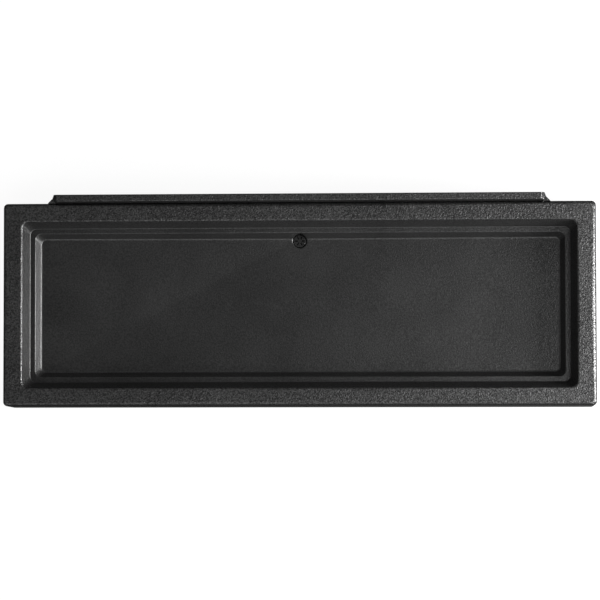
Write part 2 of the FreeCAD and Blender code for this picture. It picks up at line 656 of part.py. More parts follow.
def screw_holes(body):
    """Countersunk holes for the rail screws, their wide end flush with the flange's rear."""
    start = f"({SEAT} + Dims.sheet)"
    wide = make_sketch(body, "countersink_mouth", "XZ_Plane", height=f"-{start}")
    draw_circle(wide, "Dims.screw_head + Dims.countersink_play", x="-Dims.screw_span / 2", y="Dims.fixing_height")
    depth = "(Dims.screw_head - Dims.screw_shank)"
    narrow = make_sketch(body, "countersink_root", "XZ_Plane", height=f"-({start} - {depth})")
    draw_circle(narrow, "Dims.screw_hole", x="-Dims.screw_span / 2", y="Dims.fixing_height")
    cone = add_loft(body, "Subtractive", wide, narrow)
    doc.recompute()
    add_row(body, cone, narrow, "Dims.screw_span", "Dims.screw_count")
    doc.recompute()
    rear_holes(
        body, "screw_hole", "Dims.screw_hole", "Dims.screw_span", "Dims.screw_count", SEAT,
        "Dims.sheet",
    )


def hexagon(sketch, radius, x, y):
    """A regular hexagon with a corner on the sketch's horizontal axis."""
    half = f"({radius}) / 2"
    rise = f"({radius}) * {math.sqrt(3) / 2}"
    draw_polygon(
        sketch,
        (
            (f"{x} + ({radius})", y),
            (f"{x} + {half}", f"{y} + {rise}"),
            (f"{x} - {half}", f"{y} + {rise}"),
            (f"{x} - ({radius})", y),
            (f"{x} - {half}", f"{y} - {rise}"),
            (f"{x} + {half}", f"{y} - {rise}"),
        ),
    )


def make_rail_screws():
    """Four countersunk machine screws, their heads flush with the rail's flange."""
    body = make_body("rail_screws")
    outer = f"({SEAT} + Dims.sheet)"
    first = "-Dims.screw_span / 2"
    length = "(2 * Dims.sheet + Dims.nut_height + Dims.screw_tail)"
    shank = make_sketch(body, "shank", "XZ_Plane", height=f"-({outer} - {length})")
    draw_circle(shank, "Dims.screw_shank", x=first, y="Dims.fixing_height")
    shank_pad = add_pad(body, shank, length, upward=False)
    wide = make_sketch(body, "head", "XZ_Plane", height=f"-{outer}")
    draw_circle(wide, "Dims.screw_head", x=first, y="Dims.fixing_height")
    depth = "(Dims.screw_head - Dims.screw_shank)"
    narrow = make_sketch(body, "neck", "XZ_Plane", height=f"-({outer} - {depth})")
    draw_circle(narrow, "Dims.screw_shank", x=first, y="Dims.fixing_height")
    head = add_loft(body, "Additive", wide, narrow)
    recess = make_sketch(body, "recess", "XZ_Plane", height=f"-{outer}")
    hexagon(recess, "Dims.driver_radius", first, "Dims.fixing_height")
    driver = add_pocket(body, recess, "Dims.driver_depth", upward=True)
    doc.recompute()
    row = add_row(body, shank_pad, shank, "Dims.screw_span", "Dims.screw_count")
    row.Originals = [shank_pad, head, driver]
    doc.recompute()
    return body


def make_rail_nuts():
    """Four hexagon nuts inside the rear skirt."""
    body = make_body("rail_nuts")
    inner = f"({SEAT} - Dims.sheet)"
    first = "-Dims.screw_span / 2"
    sketch = make_sketch(body, "nut", "XZ_Plane", height=f"-({inner} - Dims.nut_height)")
    hexagon(sketch, f"Dims.nut_across / {math.sqrt(3)}", first, "Dims.fixing_height")
    draw_bore(sketch, "Dims.nut_bore", first, "Dims.fixing_height")
    nut = add_pad(body, sketch, "Dims.nut_height", upward=False)
    doc.recompute()
    add_row(body, nut, sketch, "Dims.screw_span", "Dims.screw_count")
    doc.recompute()
    return body


def draw_bore(sketch, radius, x, y):
    """A round hole inside an outline already drawn in the sketch."""
    centre = FreeCAD.Vector(value_of(x), value_of(y), 0)
    size = value_of(radius)
    item = sketch.addGeometry(Part.Circle(centre, FreeCAD.Vector(0, 0, 1), size))
    bind(sketch, "bore_radius", Sketcher.Constraint("Radius", item, size), radius)
    bind(sketch, "bore_across", Sketcher.Constraint("DistanceX", -1, 1, item, 3, centre.x), x)
    bind(sketch, "bore_up", Sketcher.Constraint("DistanceY", -1, 1, item, 3, centre.y), y)


def make_edge_feet():
    """Four rubber feet bonded inside the side skirts, each with a lip under the skirt's foot."""
    body = make_body("edge_feet")
    sketch = make_sketch(
        body, "foot_section", "XZ_Plane", height="Dims.foot_station - Dims.foot_length / 2"
    )
    lip = "(Dims.tray_width / 2 - Dims.foot_inset)"
    face = "(Dims.tray_width / 2 - Dims.foot_setback)"
    top = "(Dims.skirt_foot + Dims.foot_rise)"
    draw_polygon(
        sketch,
        (
            (f"{face} - Dims.foot_wall", "0"),
            (lip, "0"),
            (lip, "Dims.skirt_foot"),
            (face, "Dims.skirt_foot"),
            (face, top),
            (f"{face} - Dims.foot_wall", top),
        ),
    )
    foot = add_pad(body, sketch, "Dims.foot_length")
    doc.recompute()
    four = body.newObject("PartDesign::MultiTransform", "four_feet")
    four.Originals = [foot]
    mirrors = []
    for role in ("YZ_Plane", "XZ_Plane"):
        mirror = body.newObject("PartDesign::Mirrored", f"mirror_{role}")
        mirror.MirrorPlane = (origin_feature(body, role), [""])
        mirrors.append(mirror)
    four.Transformations = mirrors
    body.Tip = four
    doc.recompute()
    return body


def ring_body(label, inner, outer, low, high):
    """A plain ring about the drain's axis."""
    body = make_body(label, DRAIN_LINE)
    revolve(body, f"{label}_section", ((inner, low), (outer, low), (outer, high), (inner, high)))
    doc.recompute()
    return body


def make_drain_spigot():
    """The flanged spigot: a threaded tail, and below it the journal that the elbow turns on."""
    body = make_body("drain_spigot", DRAIN_LINE)
    ring_low = "(Dims.ring_height - Dims.ring_groove_half)"
    ring_high = "(Dims.ring_height + Dims.ring_groove_half)"
    clip_low = "(Dims.clip_height - Dims.clip_thickness / 2 - Dims.clip_play)"
    clip_high = "(Dims.clip_height + Dims.clip_thickness / 2 + Dims.clip_play)"
    revolve(
        body,
        "spigot_section",
        (
            ("Dims.journal_bore", "Dims.journal_bottom"),
            ("Dims.journal_radius", "Dims.journal_bottom"),
            ("Dims.journal_radius", ring_low),
            ("Dims.ring_groove_radius", ring_low),
            ("Dims.ring_groove_radius", ring_high),
            ("Dims.journal_radius", ring_high),
            ("Dims.journal_radius", clip_low),
            ("Dims.clip_groove_radius", clip_low),
            ("Dims.clip_groove_radius", clip_high),
            ("Dims.journal_radius", clip_high),
            ("Dims.journal_radius", "Dims.tail_shoulder"),
            ("Dims.tail_radius", "Dims.tail_shoulder"),
            ("Dims.tail_radius", SPIGOT_SEAT),
            ("Dims.flange_radius", SPIGOT_SEAT),
            ("Dims.flange_radius", SPIGOT_TOP),
            ("Dims.spigot_bore", SPIGOT_TOP),
            ("Dims.spigot_bore", "Dims.bore_step"),
            ("Dims.journal_bore", "Dims.bore_step"),
        ),
    )
    doc.recompute()
    return body


def make_lock_nut():
    """The flat hexagon nut that draws the spigot down on the sump."""
    body = make_body("lock_nut", DRAIN_LINE)
    sketch = make_sketch(body, "lock_nut_plan", height=f"{LOCK_TOP} - Dims.lock_height")
    hexagon(sketch, f"Dims.lock_across / {math.sqrt(3)}", "0", "0")
    draw_bore(sketch, "Dims.lock_bore", "0", "0")
    add_pad(body, sketch, "Dims.lock_height")
    doc.recompute()
    return body


def make_elbow_o_ring():
    """The O-ring in the journal's lower groove."""
    ring = doc.addObject("Part::Torus", "elbow_o_ring")
    ring.Label = "elbow_o_ring"
    ring.setExpression("Radius1", "Dims.ring_groove_radius + Dims.ring_radius")
    ring.setExpression("Radius2", "Dims.ring_radius")
    ring.setExpression("Placement.Base.y", f"{BOX_SHIFT} + {DRAIN_LINE}")
    ring.setExpression("Placement.Base.z", "Dims.ring_height")
    doc.recompute()
    return ring


def make_drain_elbow():
    """The elbow: a round socket on the journal, and a level hose tail towards the rear."""
    body = make_body("drain_elbow", DRAIN_LINE)
    revolve(
        body,
        "socket_section",
        (
            ("0", "Dims.elbow_bottom"),
            ("Dims.elbow_radius", "Dims.elbow_bottom"),
            ("Dims.elbow_radius", "Dims.elbow_top"),
            ("0", "Dims.elbow_top"),
        ),
    )
    collar = make_sketch(body, "collar", "XZ_Plane")
    draw_circle(collar, "Dims.collar_radius", y="Dims.hose_tail_height")
    add_pad(body, collar, "Dims.collar_end", upward=False)
    tail = make_sketch(body, "hose_tail", "XZ_Plane")
    draw_circle(tail, "Dims.hose_tail_radius", y="Dims.hose_tail_height")
    add_pad(body, tail, "Dims.hose_tail_reach", upward=False)
    doc.recompute()
    add_end_chamfer(body)
    chamber = make_sketch(body, "chamber", height="Dims.socket_bottom")
    draw_circle(chamber, "Dims.socket_radius")
    add_pocket(body, chamber, "Dims.elbow_top - Dims.socket_bottom", upward=True)
    bore = make_sketch(body, "hose_bore", "XZ_Plane")
    draw_circle(bore, "Dims.hose_tail_bore", y="Dims.hose_tail_height")
    add_pocket(body, bore, "Dims.hose_tail_reach")
    doc.recompute()
    for side in ("-1", "1"):
        clip_slot(body, side)
    doc.recompute()
    return body


def add_end_chamfer(body):
    """Bevels the open end of the hose tail."""
    reach = value_of("Dims.hose_tail_reach")
    names = [
        f"Edge{number}"
        for number, edge in enumerate(body.Tip.Shape.Edges, start=1)
        if edge.BoundBox.YMin > reach - TOLERANCE
    ]
    chamfer = dress_up(body, "Chamfer", "tail_bevel", names)
    chamfer.setExpression("Size", "Dims.hose_tail_chamfer")
    doc.recompute()


def clip_slot(body, side):
    """One of the two slots through the socket that the clip's legs pass through."""
    low = "Dims.clip_height - Dims.clip_thickness / 2 - Dims.clip_play"
    sketch = make_sketch(body, f"clip_slot_{'left' if side == '-1' else 'right'}", height=low)
    inner = f"{side} * (Dims.clip_inner - Dims.clip_play)"
    outer = f"{side} * (Dims.clip_inner + Dims.clip_leg + Dims.clip_play)"
    end = "(Dims.elbow_radius + Dims.cut_margin)"
    draw_polygon(sketch, ((inner, f"-{end}"), (outer, f"-{end}"), (outer, end), (inner, end)))
    add_pocket(body, sketch, "Dims.clip_thickness + 2 * Dims.clip_play", upward=True)


def make_retaining_clip():
    """The U-shaped clip whose legs lie in the journal's upper groove."""
    body = make_body("retaining_clip", DRAIN_LINE)
    sketch = make_sketch(body, "clip_plan", height="Dims.clip_height - Dims.clip_thickness / 2")
    outer = "(Dims.clip_inner + Dims.clip_leg)"
    bridge = "(Dims.clip_bridge + Dims.clip_leg)"
    draw_polygon(
        sketch,
        (
            (f"-{outer}", f"-{bridge}"),
            (outer, f"-{bridge}"),
            (outer, "Dims.clip_reach"),
            ("Dims.clip_inner", "Dims.clip_reach"),
            ("Dims.clip_inner", "-Dims.clip_bridge"),
            ("-Dims.clip_inner", "-Dims.clip_bridge"),
            ("-Dims.clip_inner", "Dims.clip_reach"),
            (f"-{outer}", "Dims.clip_reach"),
        ),
    )
    add_pad(body, sketch, "Dims.clip_thickness")
    doc.recompute()
    return body


def make_strainer():
    """The slotted cap that drops into the spigot and keeps fruit and straws out of the drain."""
    body = make_body("strainer", DRAIN_LINE)
    under = f"({SPIGOT_TOP} + Dims.strainer_height - Dims.strainer_skin)"
    revolve(
        body,
        "strainer_section",
        (
            ("0", f"{SPIGOT_TOP} + Dims.strainer_height"),
            ("0", under),
            ("Dims.plug_bore", under),
            ("Dims.plug_bore", f"{SPIGOT_TOP} - Dims.plug_length"),
            ("Dims.plug_radius", f"{SPIGOT_TOP} - Dims.plug_length"),
            ("Dims.plug_radius", under),
            ("Dims.strainer_recess", under),
            ("Dims.strainer_recess", SPIGOT_TOP),
            ("Dims.strainer_radius", SPIGOT_TOP),
            ("Dims.strainer_radius", f"{SPIGOT_TOP} + Dims.strainer_height"),
        ),
    )
    doc.recompute()
    crown = value_of(f"{SPIGOT_TOP} + Dims.strainer_height")
    add_fillet(body, level_edges(body.Tip.Shape, crown), "Dims.strainer_rounding")
    sketch = make_sketch(body, "slot", height=f"{SPIGOT_TOP} + Dims.strainer_height")
    half = "Dims.slot_width / 2"
    draw_polygon(
        sketch,
        (
            ("Dims.slot_start", f"-{half}"),
            ("Dims.slot_end", f"-{half}"),
            ("Dims.slot_end", half),
            ("Dims.slot_start", half),
        ),
    )
    slot = add_pocket(body, sketch, "Dims.strainer_skin + Dims.slot_overcut")
    doc.recompute()
    ring = body.newObject("PartDesign::PolarPattern", "slots")
    ring.Originals = [slot]
    ring.Axis = (origin_feature(body, "Z_Axis"), [""])
    ring.Angle = 360
    ring.setExpression("Occurrences", "Dims.slot_count")
    body.Tip = ring
    doc.recompute()
    return body


def make_parts():
    gasket_low = "Dims.sump_bottom"
    return (
        make_tray_shell(),
        make_splash_rail(),
        make_rail_screws(),
        make_rail_nuts(),
        make_edge_feet(),
        ring_body("spigot_gasket", "Dims.gasket_bore", "Dims.flange_radius", gasket_low, SPIGOT_SEAT),
        make_drain_spigot(),
        ring_body("nut_washer", "Dims.gasket_bore", "Dims.washer_radius", LOCK_TOP, SUMP_UNDERSIDE),
        make_lock_nut(),
        make_elbow_o_ring(),
        make_drain_elbow(),
        make_retaining_clip(),
        make_strainer(),
    )


def check(parts):
    """Stops on any failed object, and on any sub-part that is empty or not valid."""
    for item in doc.Objects:
        if "Invalid" in item.State or "Error" in item.State:
            raise RuntimeError(f"{item.Name} failed: {item.State}")
    for part in parts:
        if part.Shape.isNull() or not part.Shape.isValid():
            raise RuntimeError(f"{part.Label} has no valid shape")


def main():
    parts = make_parts()
    doc.recompute()
    check(parts)
    os.makedirs("parts", exist_ok=True)
    for part in parts:
        part.Shape.exportStep(f"parts/{part.Label}.step")
        box = part.Shape.BoundBox
        print(
            f"{part.Label}: {len(part.Shape.Solids)} solids, {part.Shape.Volume:.0f} mm3, "
            f"x {box.XMin:.2f}..{box.XMax:.2f} y {box.YMin:.2f}..{box.YMax:.2f} "
            f"z {box.ZMin:.2f}..{box.ZMax:.2f}"
        )


main()
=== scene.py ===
import math

import bpy
import numpy as np
from mathutils import Matrix, Vector


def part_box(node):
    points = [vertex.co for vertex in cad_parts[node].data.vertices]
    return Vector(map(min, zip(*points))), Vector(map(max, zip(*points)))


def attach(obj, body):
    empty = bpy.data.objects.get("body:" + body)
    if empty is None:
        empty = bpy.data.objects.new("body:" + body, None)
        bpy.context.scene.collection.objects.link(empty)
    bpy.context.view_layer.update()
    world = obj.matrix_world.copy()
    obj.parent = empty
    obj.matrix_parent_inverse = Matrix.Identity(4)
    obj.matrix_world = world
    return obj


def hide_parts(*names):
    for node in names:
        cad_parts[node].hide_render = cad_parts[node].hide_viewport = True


# A moulded drip tray with a rear splash rail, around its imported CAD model.
#
# Shapes are worked out in millimetres in the object's frame (X along the width, +Y towards the rear,
# +Z up) and turned to metres when a mesh is made. Overall places come from the CAD nodes' boxes.

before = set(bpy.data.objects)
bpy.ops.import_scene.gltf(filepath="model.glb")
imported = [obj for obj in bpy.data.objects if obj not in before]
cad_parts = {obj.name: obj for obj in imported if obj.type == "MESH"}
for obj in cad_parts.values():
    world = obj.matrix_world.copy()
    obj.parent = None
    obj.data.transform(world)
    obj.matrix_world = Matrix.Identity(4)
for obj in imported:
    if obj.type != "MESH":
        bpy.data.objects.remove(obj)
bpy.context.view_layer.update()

MM = 0.001


def box_mm(node):
    """Lowest and highest corners of a CAD node in millimetres."""
    low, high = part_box(node)
    return np.array(low) / MM, np.array(high) / MM


# ---------------------------------------------------------------- sizes

SHELL_LOW, SHELL_HIGH = box_mm("tray_shell")
RAIL_LOW, RAIL_HIGH = box_mm("splash_rail")
SPIGOT_LOW, SPIGOT_HIGH = box_mm("drain_spigot")
SCREWS_LOW, SCREWS_HIGH = box_mm("rail_screws")

FACE = SHELL_HIGH[2]
SKIRT_FOOT = 2.5
SHEET = 3.0
FOOT_ROUNDING = 0.7
UNDER_RIM_ROUNDING = 1.0
SKIRT_RUN = 1.6
OUTER_CORNER = 4.5
EDGE_ROUNDING = 5.0
BORDER_SIDE = 19.3
BORDER_FRONT = 18.5
BORDER_REAR = 18.95
RIM_CORNER = 7.0
RIM_ROUNDING = 3.0
UPPER_DEPTH = 18.5
UPPER_RUN = 5.8
LEDGE_WIDTH = 5.5
LEDGE_ROUNDING = 1.2
LOWER_DEPTH = 9.5
LOWER_RUN = 4.8
FLOOR_CORNER = 6.0
FLOOR_FILLET = 2.5
FLOOR_FALL = 7.0
HIP_SOFTNESS = 0.12
SUMP_RADIUS = 7.2
SUMP_BOTTOM = 23.0
SUMP_LIP = 1.0
SUMP_FILLET = 0.8
SUMP_OVERCUT = 0.1
BOSS_ROUNDING = 1.0
DRAIN_HOLE = 5.25
NOTCH_RADIUS = 13.0
NOTCH_CENTRE = 11.5
SEAT_DEPTH = 1.55
SEAT_HALF = 250.4
SEAT_BOTTOM = 33.0
SEAT_BACKING_TOP = 61.0
SCREW_COUNT = 4
SCREW_HOLE = 2.15
SCREW_HEAD = 4.0
FIXING_HOLE = 2.75
FIXING_PITCH = 406.4

RIM_HALF = SHELL_HIGH[0] - SKIRT_RUN - BORDER_SIDE
RIM_FRONT = SHELL_LOW[1] + SKIRT_RUN + BORDER_FRONT
RIM_REAR = SHELL_HIGH[1] - BORDER_REAR
LEDGE = FACE - UPPER_DEPTH
STEP_RUN = UPPER_RUN + LEDGE_WIDTH
FLOOR_RUN = STEP_RUN + LOWER_RUN
FLOOR_HALF = RIM_HALF - FLOOR_RUN
FLOOR_FRONT = RIM_FRONT + FLOOR_RUN
FLOOR_REAR = RIM_REAR - FLOOR_RUN
FLOOR_EDGE = LEDGE - LOWER_DEPTH
FLOOR_LOW = FLOOR_EDGE - FLOOR_FALL
DRAIN = (SPIGOT_LOW + SPIGOT_HIGH) / 2
SEAT = SHELL_HIGH[1] - SEAT_DEPTH
FIXING_HEIGHT = (SCREWS_LOW[2] + SCREWS_HIGH[2]) / 2
SCREW_X = np.linspace(SCREWS_LOW[0] + SCREW_HEAD, SCREWS_HIGH[0] - SCREW_HEAD, SCREW_COUNT)
FIXING_X = (-FIXING_PITCH / 2, FIXING_PITCH / 2)

GRAIN_PEBBLES = 820.0
GRAIN_WRINKLES = 900.0
GRAIN_PATCHES = 640.0
GRAIN_DEPTH = 0.32
GRAIN_SHEEN = 0.34
FLOOR_GRAIN = 0.45
GRAIN_CLOUD = 18.0
GRAIN_DARK = 0.005
GRAIN_PALE = 0.010
GRAIN_DULL = (0.36, 0.41)
MOTTLE_SHARE = 0.7
CLOUD_SHARE = 0.3
EDGE_POLISH = 0.08
FOOT_WEAR = 0.8
INNER_FOOT_WEAR = 0.6
MOULDED_CLOUD = 60.0
PLATED_SPECKS = 1400.0
PLATED_CLOUD = 240.0
PLATED_DEPTH = 0.01
NOISE_RANGE = (0.3, 0.7)
WRINKLE_RANGE = (0.35, 0.7)
PATCH_RANGE = (0.35, 0.65)

FLOOR_REACH = 6.0
FLOOR_ROUGHNESS = 0.9
FLOOR_TONE = 0.85
FLOOR_GLOW = 1.03
FLOOR_GLOW_SHARE = 0.90
FLOOR_DIM = 0.04
BELOW_LEVEL = 1.1
GROUND_LEVEL = 0.03
BELOW_SPREAD = (-0.65, -0.30)
BAND_FOOT = (0.15, 0.50)
BAND_FADE = (0.76, 0.94)
ZENITH_LEVEL = 0.06
FRONT_SPREAD = (-0.60, 0.0)
FRONT_LEVEL = 1.90
REAR_LEVEL = 0.48
KEY_PLACE = (1.00, -0.14, 0.36)
KEY_SIZE = (0.50, 0.45)
KEY_POWER = 40.0
FILL_PLACE = (0.80, -0.20, 1.15)
FILL_SIZE = (0.35, 0.35)
FILL_POWER = 8.5
LIGHT_AIM = (0.0, 0.0, 0.05)

CAMERA_AIM = (2.08, 109.33)
CAMERA_LEAN = (2.996, 2.508)
CAMERA_ROLL = -0.086
CAMERA_DISTANCE = 2.5828
CAMERA_SENSOR = 36.0
CAMERA_LENS = 151.926

CORNER_STEPS = 10
SIDE_STEPS = 20
FRONT_STEPS = 60
REAR_STEPS = 64
REAR_CROWDING = 3.2
FLOOR_MARGIN = 3.0
ROUND_STEPS = 48
HOLE_STEPS = 32
NOTCH_STEPS = 24
FILLET_STEPS = 3
LIP_STEPS = 5
SHARP_ANGLE = 35.0


# ---------------------------------------------------------------- meshes

def mesh_object(name, points, faces):
    """A mesh object from points in millimetres."""
    mesh = bpy.data.meshes.new(name)
    mesh.from_pydata([tuple(p) for p in np.asarray(points, float) * MM], [], faces)
    mesh.validate()
    obj = bpy.data.objects.new(name, mesh)
    bpy.context.scene.collection.objects.link(obj)
    return obj


def carve(obj, tool, operation="DIFFERENCE"):
    """Joins a tool to the object's mesh, or cuts it away, and removes the tool."""
    modifier = obj.modifiers.new("carve", "BOOLEAN")
    modifier.operation = operation
    modifier.solver = "EXACT"
    modifier.object = tool
    bpy.context.view_layer.update()
    carved = bpy.data.meshes.new_from_object(
        obj.evaluated_get(bpy.context.evaluated_depsgraph_get())
    )
    obj.modifiers.remove(modifier)
    obj.data = carved
    bpy.data.objects.remove(tool)


def smooth(obj):
    """Smooth shading with sharp edges over an angle, and flat faces that stay flat."""
    for polygon in obj.data.polygons:
        polygon.use_smooth = True
    obj.data.set_sharp_from_angle(angle=math.radians(SHARP_ANGLE))
    modifier = obj.modifiers.new("weighted_normals", "WEIGHTED_NORMAL")
    modifier.keep_sharp = True


def unit(vector):
    """The vector at length one."""
    return vector / np.linalg.norm(vector)


def rounded_line(corners, radii, steps):
    """Points of a line in space whose inner corners are rounded by arcs."""
    points = [corners[0]]
    inner = zip(corners, corners[1:], corners[2:], radii, steps)
    for before, here, after, radius, count in inner:
        arriving = unit(here - before)
        leaving = unit(after - here)
        turn = math.acos(max(-1.0, min(1.0, float(arriving @ leaving))))
        reach = radius * math.tan(turn / 2)
        centre = here + unit(leaving - arriving) * radius / math.cos(turn / 2)
        start = here - arriving * reach - centre
        end = here + leaving * reach - centre
        for step in range(count + 1):
            part = turn * step / count
            blend = (math.sin(turn - part) * start + math.sin(part) * end) / math.sin(turn)
            points.append(centre + blend)
    points.append(corners[-1])
    return points


def ring_solid(name, rings):
    """A closed solid through rings of equal count, given from the lowest one up."""
    count = len(rings[0])
    faces = [tuple(range(count))[::-1]]
    for level in range(len(rings) - 1):
        base = level * count
        for i in range(count):
            j = (i + 1) % count
            faces.append((base + i, base + j, base + count + j, base + count + i))
    top = (len(rings) - 1) * count
    faces.append(tuple(range(top, top + count)))
    return mesh_object(name, np.concatenate(rings), faces)


def circle(centre, radius, height):
    """A level ring of points; the height may differ from point to point."""
    turns = np.linspace(0, 2 * math.pi, ROUND_STEPS, endpoint=False)
    ring = np.empty((ROUND_STEPS, 3))
    ring[:, 0] = centre[0] + radius * np.cos(turns)
    ring[:, 1] = centre[1] + radius * np.sin(turns)
    ring[:, 2] = height
    return ring


# ---------------------------------------------------------------- tray shell

class Outline:
    """A level rounded rectangle of the tray. The height is a number or a function of x and y."""

    def __init__(self, half, front, rear, corner, height):
        self.half = half
        self.front = front
        self.rear = rear
        self.corner = corner
        self.height = height

    def point(self, station):
        """The point at a station: a corner with an angle, or a side with a share of its length."""
        kind, where, share = station
        across = self.half - self.corner
        front = self.front + self.corner
        rear = self.rear - self.corner
        if kind == "corner":
            side_x, side_y = where
            x = side_x * across + self.corner * math.cos(share)
            y = (rear if side_y > 0 else front) + self.corner * math.sin(share)
        elif where == "left":
            x, y = -self.half, rear + (front - rear) * share
        elif where == "right":
            x, y = self.half, front + (rear - front) * share
        elif where == "front":
            x, y = across * (2 * share - 1), self.front
        else:
            x, y = across * share, self.rear
        z = self.height(x, y) if callable(self.height) else self.height
        return np.array((x, y, z))


def floor_height(x, y):
    """Three facets that fall to the middle of the floor's rear edge, softened where they meet."""
    side = FLOOR_LOW + FLOOR_FALL * abs(x) / FLOOR_HALF
    front = FLOOR_LOW + FLOOR_FALL * (FLOOR_REAR - y) / (FLOOR_REAR - FLOOR_FRONT)
    gap = abs(side - front)
    soft = max(HIP_SOFTNESS - gap, 0) ** 2 / (4 * HIP_SOFTNESS)
    return max(side, front) + soft


def under_floor(x, y):
    """Height of the floor's underside."""
    return floor_height(x, y) - SHEET


def skirt_line(run, grow, corner, height):
    """An outline of the skirt, drawn in by its draft and by a wall."""
    return Outline(
        SHELL_HIGH[0] - run + grow,
        SHELL_LOW[1] + run - grow,
        SHELL_HIGH[1] + grow,
        corner + grow,
        height,
    )


def well_line(run, grow, corner, height):
    """An outline of the well, drawn in from the rim by a run and grown by a wall."""
    return Outline(
        RIM_HALF - run + grow, RIM_FRONT + run - grow, RIM_REAR - run + grow, corner + grow, height
    )


def shell_section():
    """Outlines from the underside of the floor, round the skirt's foot and down to the floor.

    Each has the radius of its rounding, the steps of the arc and the wear of the edge.
    """
    inset = FLOOR_RUN + FLOOR_MARGIN
    start_corner = FLOOR_CORNER - FLOOR_MARGIN
    return (
        (well_line(inset, SHEET, start_corner, under_floor), 0, 0, 0),
        (well_line(FLOOR_RUN, SHEET, FLOOR_CORNER, under_floor), FLOOR_FILLET, 4, 0),
        (well_line(STEP_RUN, SHEET, FLOOR_CORNER, LEDGE - SHEET), LEDGE_ROUNDING, 3, 0),
        (well_line(UPPER_RUN, SHEET, RIM_CORNER, LEDGE - SHEET), LEDGE_ROUNDING + SHEET / 2, 3, 0),
        (well_line(0, SHEET, RIM_CORNER, FACE - SHEET), UNDER_RIM_ROUNDING, 3, 0),
        (skirt_line(SKIRT_RUN, -SHEET, OUTER_CORNER, FACE - SHEET), EDGE_ROUNDING - SHEET, 4, 0),
        (skirt_line(0, -SHEET, OUTER_CORNER, SKIRT_FOOT), FOOT_ROUNDING, 3, INNER_FOOT_WEAR),
        (skirt_line(0, 0, OUTER_CORNER, SKIRT_FOOT), FOOT_ROUNDING, 3, FOOT_WEAR),
        (skirt_line(SKIRT_RUN, 0, OUTER_CORNER, FACE), EDGE_ROUNDING, 10, 1.0),
        (well_line(0, 0, RIM_CORNER, FACE), RIM_ROUNDING, 7, 1.0),
        (well_line(UPPER_RUN, 0, RIM_CORNER, LEDGE), LEDGE_ROUNDING, 5, 0),
        (well_line(STEP_RUN, 0, FLOOR_CORNER, LEDGE), LEDGE_ROUNDING, 5, 1.0),
        (well_line(FLOOR_RUN, 0, FLOOR_CORNER, floor_height), FLOOR_FILLET, 7, 0),
        (well_line(inset, 0, start_corner, floor_height), 0, 0, 0),
    )


def rear_shares():
    """Places along half the rear side, from its corner to its middle, crowded at the middle."""
    steps = np.arange(1, REAR_STEPS) / REAR_STEPS
    return np.sinh(REAR_CROWDING * (1 - steps)) / math.sinh(REAR_CROWDING)


def stations():
    """Stations round the tray: those whose lines run to the low point, then those of the rear side."""
    quarter = math.pi / 2
    arc = [quarter * step / CORNER_STEPS for step in range(CORNER_STEPS + 1)]
    inner_side = [step / SIDE_STEPS for step in range(1, SIDE_STEPS)]
    inner_front = [step / FRONT_STEPS for step in range(1, FRONT_STEPS)]
    radiating = [("corner", (-1, 1), quarter + turn) for turn in arc]
    radiating += [("side", "left", share) for share in inner_side]
    radiating += [("corner", (-1, -1), 2 * quarter + turn) for turn in arc]
    radiating += [("side", "front", share) for share in inner_front]
    radiating += [("corner", (1, -1), 3 * quarter + turn) for turn in arc]
    radiating += [("side", "right", share) for share in inner_side]
    radiating += [("corner", (1, 1), turn) for turn in arc]
    half = list(rear_shares())
    rear = [("side", "rear", share) for share in half + [0.0] + [-share for share in half[::-1]]]
    return radiating, rear


def floor_patch(points, faces, ring, radiating, height, upward):
    """Fills the floor's outline with lines that run to the middle of its rear side."""
    total = len(ring)
    middle = radiating + REAR_STEPS - 1
    low_point = points[ring[middle]]
    shares = rear_shares()
    columns = []
    for i in range(radiating):
        if i == 0:
            inner = [ring[total - j] for j in range(1, REAR_STEPS)]
        elif i == radiating - 1:
            inner = [ring[radiating + j - 1] for j in range(1, REAR_STEPS)]
        else:
            inner = []
            start = points[ring[i]]
            for share in shares:
                x, y = low_point[:2] + (start[:2] - low_point[:2]) * share
                inner.append(len(points))
                points.append(np.array((x, y, height(x, y))))
        columns.append([ring[i]] + inner + [ring[middle]])
    for near, far in zip(columns, columns[1:]):
        for j in range(REAR_STEPS):
            corners = [near[j], far[j], far[j + 1], near[j + 1]]
            face = list(dict.fromkeys(corners))
            faces.append(tuple(face if upward else face[::-1]))


def shell_mesh():
    """The whole moulding as one closed sheet, before its holes are cut."""
    section = shell_section()
    outlines = [row[0] for row in section]
    radii = [row[1] for row in section[1:-1]]
    steps = [row[2] for row in section[1:-1]]
    radiating, rear = stations()
    places = radiating + rear
    points = []
    for place in places:
        points += rounded_line([outline.point(place) for outline in outlines], radii, steps)
    rows = len(points) // len(places)
    wear = [0.0]
    for row in section[1:-1]:
        wear += [row[3] * math.sin(math.pi * step / row[2]) for step in range(row[2] + 1)]
    wear.append(0.0)
    wear *= len(places)
    faces = []
    for i in range(len(places)):
        here = i * rows
        there = (i + 1) % len(places) * rows
        for row in range(rows - 1):
            faces.append((here + row, there + row, there + row + 1, here + row + 1))
    under_ring = [i * rows for i in range(len(places))]
    floor_ring = [i * rows + rows - 1 for i in range(len(places))]
    floor_patch(points, faces, floor_ring, len(radiating), floor_height, True)
    floor_patch(points, faces, under_ring, len(radiating), under_floor, False)
    wear += [0.0] * (len(points) - len(wear))
    obj = mesh_object("drip_tray", points, faces)
    attribute = obj.data.attributes.new("wear", "FLOAT", "POINT")
    attribute.data.foreach_set("value", np.array(wear, np.float32))
    return obj


def well_height(x, y):
    """Height of the floor, the rear wall or the ledge near the sump."""
    if y <= FLOOR_REAR:
        return floor_height(x, y)
    foot = floor_height(x, FLOOR_REAR)
    climb = min((y - FLOOR_REAR) / LOWER_RUN, 1.0)
    return foot + (LEDGE - foot) * climb


